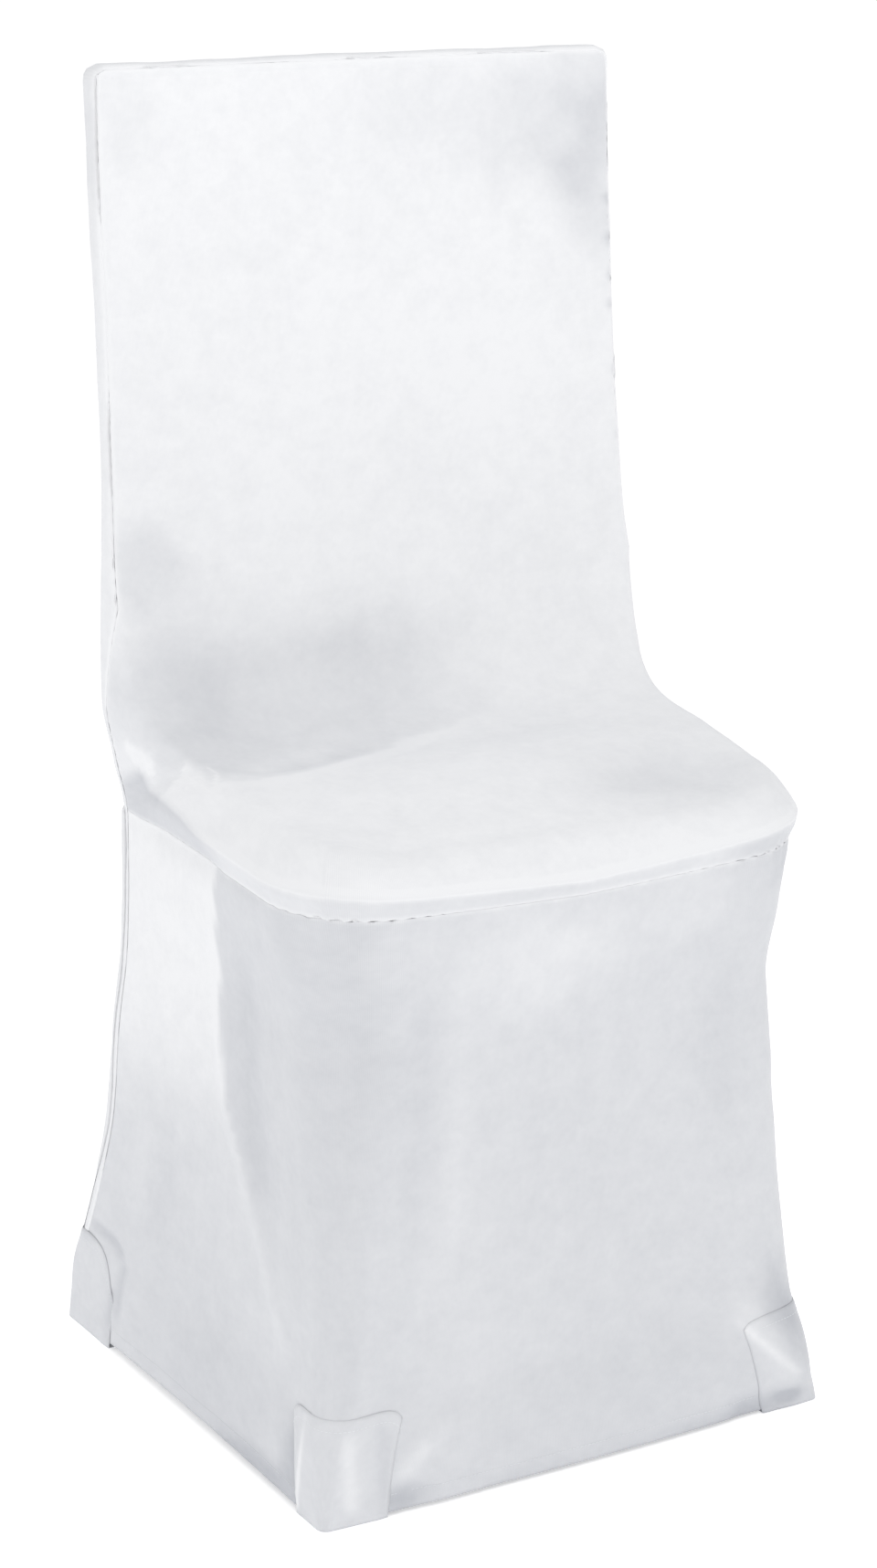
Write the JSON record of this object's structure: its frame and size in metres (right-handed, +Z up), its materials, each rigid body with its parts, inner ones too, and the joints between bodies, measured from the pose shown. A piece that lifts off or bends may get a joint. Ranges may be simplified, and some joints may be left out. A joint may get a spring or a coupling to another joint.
{
  "type": "fitted chair cover",
  "caption": "Fitted stretch chair cover with a tall back, a rounded seat top, a skirt to the floor and a pocket for each foot.",
  "frame": {"origin": "middle of the cover's footprint, at floor level", "axes": "+Z up, -Y towards the seat's front edge, +Y towards the outside of the back, +X to the viewer's right when the seat's front is seen"},
  "size_m": [0.458, 0.4474, 1.0125],
  "materials": {
    "inside_back_and_seat_cloth": "satin",
    "outside_back_cloth": "satin",
    "skirt_cloth": "satin",
    "foot_pocket_front_left_cloth": "satin",
    "foot_pocket_front_right_cloth": "satin",
    "foot_pocket_rear_left_cloth": "satin",
    "foot_pocket_rear_right_cloth": "satin"
  },
  "bodies": {
    "root": {"inside_back_and_seat": "inside_back_and_seat_cloth", "outside_back": "outside_back_cloth", "skirt": "skirt_cloth", "foot_pocket_front_left": "foot_pocket_front_left_cloth", "foot_pocket_front_right": "foot_pocket_front_right_cloth", "foot_pocket_rear_left": "foot_pocket_rear_left_cloth", "foot_pocket_rear_right": "foot_pocket_rear_right_cloth"}
  },
  "joints": []
}
